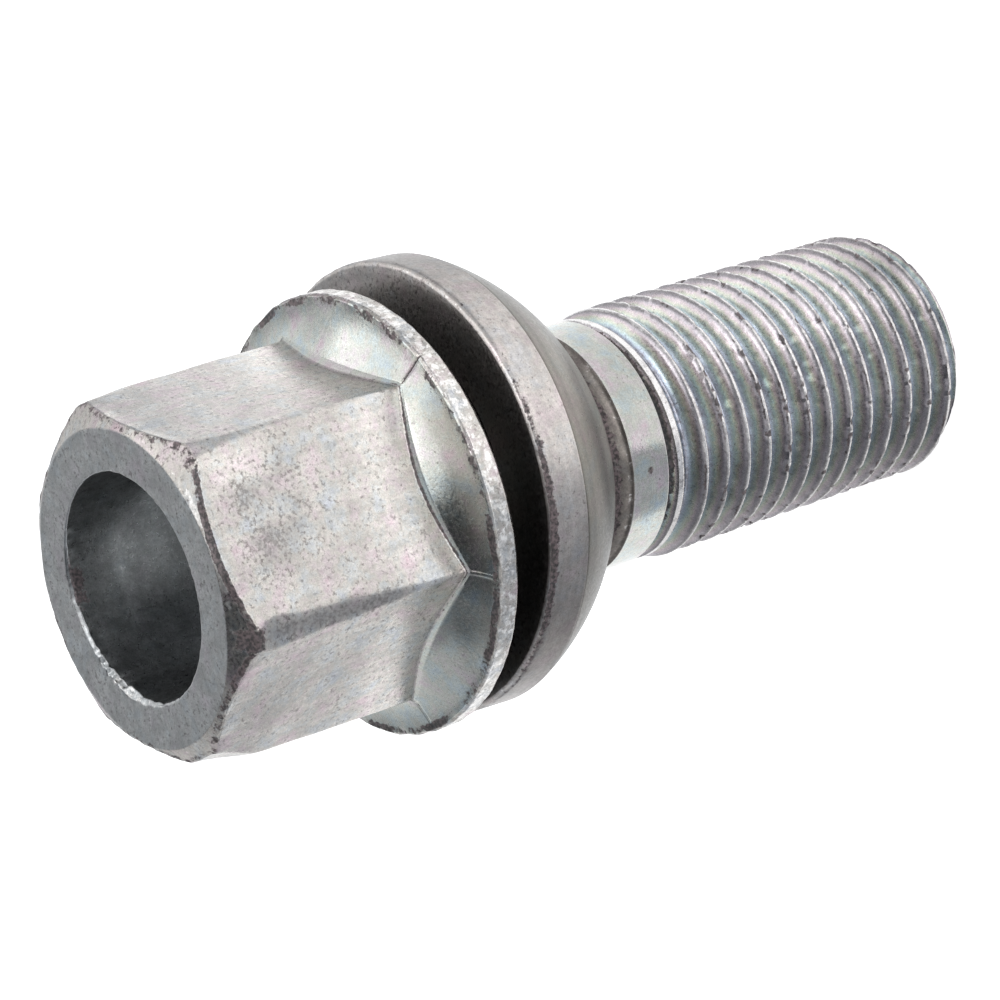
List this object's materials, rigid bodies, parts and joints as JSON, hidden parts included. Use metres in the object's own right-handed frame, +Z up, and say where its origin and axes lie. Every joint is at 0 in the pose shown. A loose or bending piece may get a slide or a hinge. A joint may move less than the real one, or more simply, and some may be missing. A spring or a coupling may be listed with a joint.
{
  "type": "wheel bolt",
  "caption": "Forged steel wheel bolt with a hollow hexagon head, a dished flange, a loose captive ball-seat washer and a metric fine thread.",
  "frame": {"origin": "middle of the thread's end face, on which the bolt stands", "axes": "+Z up along the bolt's axis towards the head; -Y is square to one flat of the hexagon, and +X runs through one of its corners"},
  "size_m": [0.0243, 0.0241, 0.0511],
  "materials": {
    "plated_bolt": "worn zinc plating, satin",
    "plated_washer": "worn zinc plating, satin"
  },
  "bodies": {
    "bolt": {"bolt": "plated_bolt"},
    "washer": {"ball_seat_washer": "plated_washer"}
  },
  "joints": [
    {"name": "washer_spin", "type": "hinge", "parent": "bolt", "child": "washer", "pos_m": [0.00066, -0.00039, 0.03693], "axis": [0.0345, -0.0321, 0.9989], "continuous": true}
  ]
}
